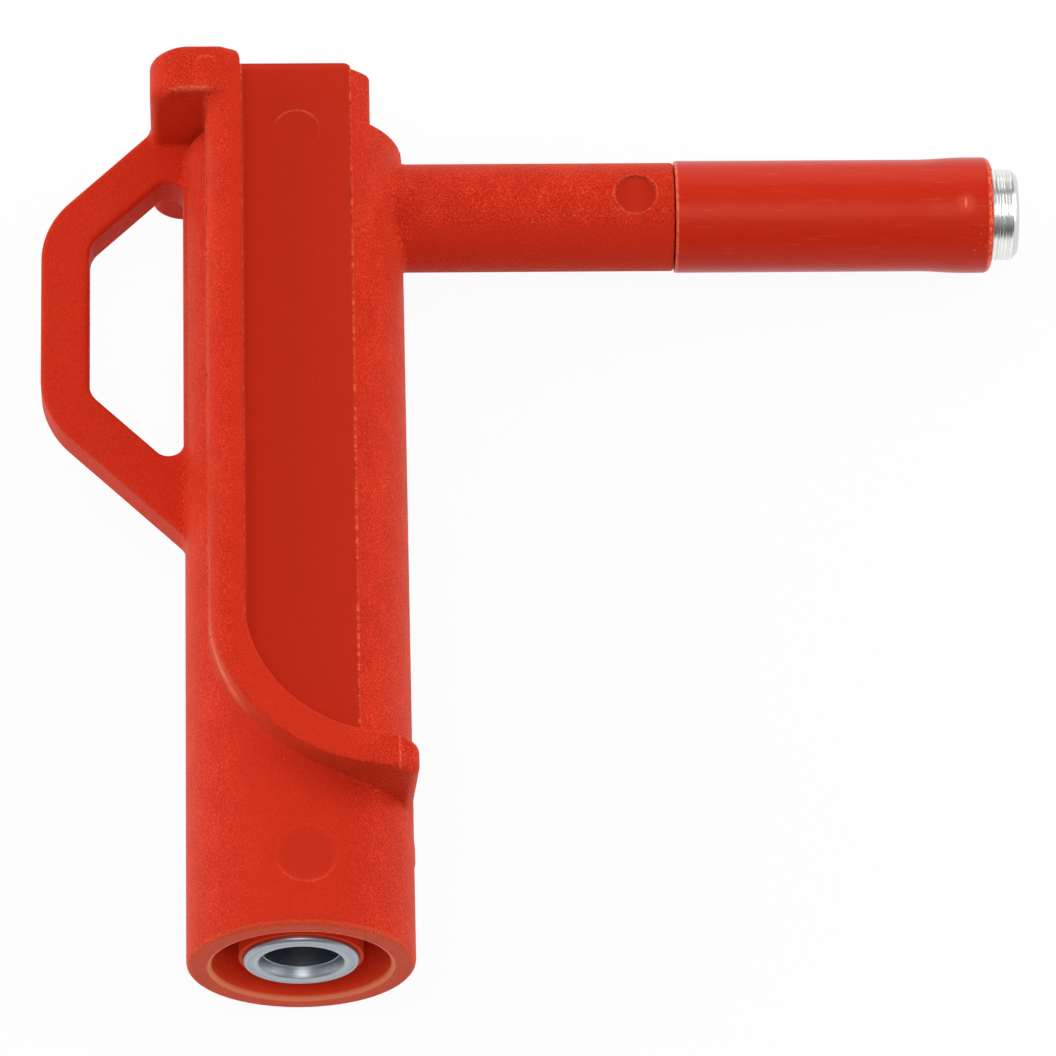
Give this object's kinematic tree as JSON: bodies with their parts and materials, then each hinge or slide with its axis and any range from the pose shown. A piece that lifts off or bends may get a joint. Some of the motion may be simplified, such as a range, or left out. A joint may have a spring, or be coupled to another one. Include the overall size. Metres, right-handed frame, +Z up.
{
  "type": "magnetic test lead adapter",
  "caption": "Plastic adapter for a test lead: a barrel with a shrouded plug socket, a finger loop and a finger guard, and a side arm that ends in a magnet.",
  "frame": {"origin": "on the table, under the middle of the bounding box, with the adapter lying on its back as it comes to rest", "axes": "+X the way the arm points, +Y along the barrel from the socket mouth to the roof, +Z up, out of the front panel"},
  "size_m": [0.054, 0.0518, 0.0164],
  "materials": {
    "red_plastic": "fine moulded texture, with smooth panels at the front and the back",
    "sleeve_plastic": "smooth, with a soft gloss",
    "contact_nickel": "turned, nickel plated, satin",
    "tip_nickel": "turned, nickel plated, bright",
    "magnet_nickel": "nickel plated, satin"
  },
  "bodies": {
    "root": {"housing": "red_plastic", "socket_contact": "contact_nickel", "tip_rod": "tip_nickel", "magnet": "magnet_nickel", "arm_sleeve": "sleeve_plastic"}
  },
  "joints": []
}
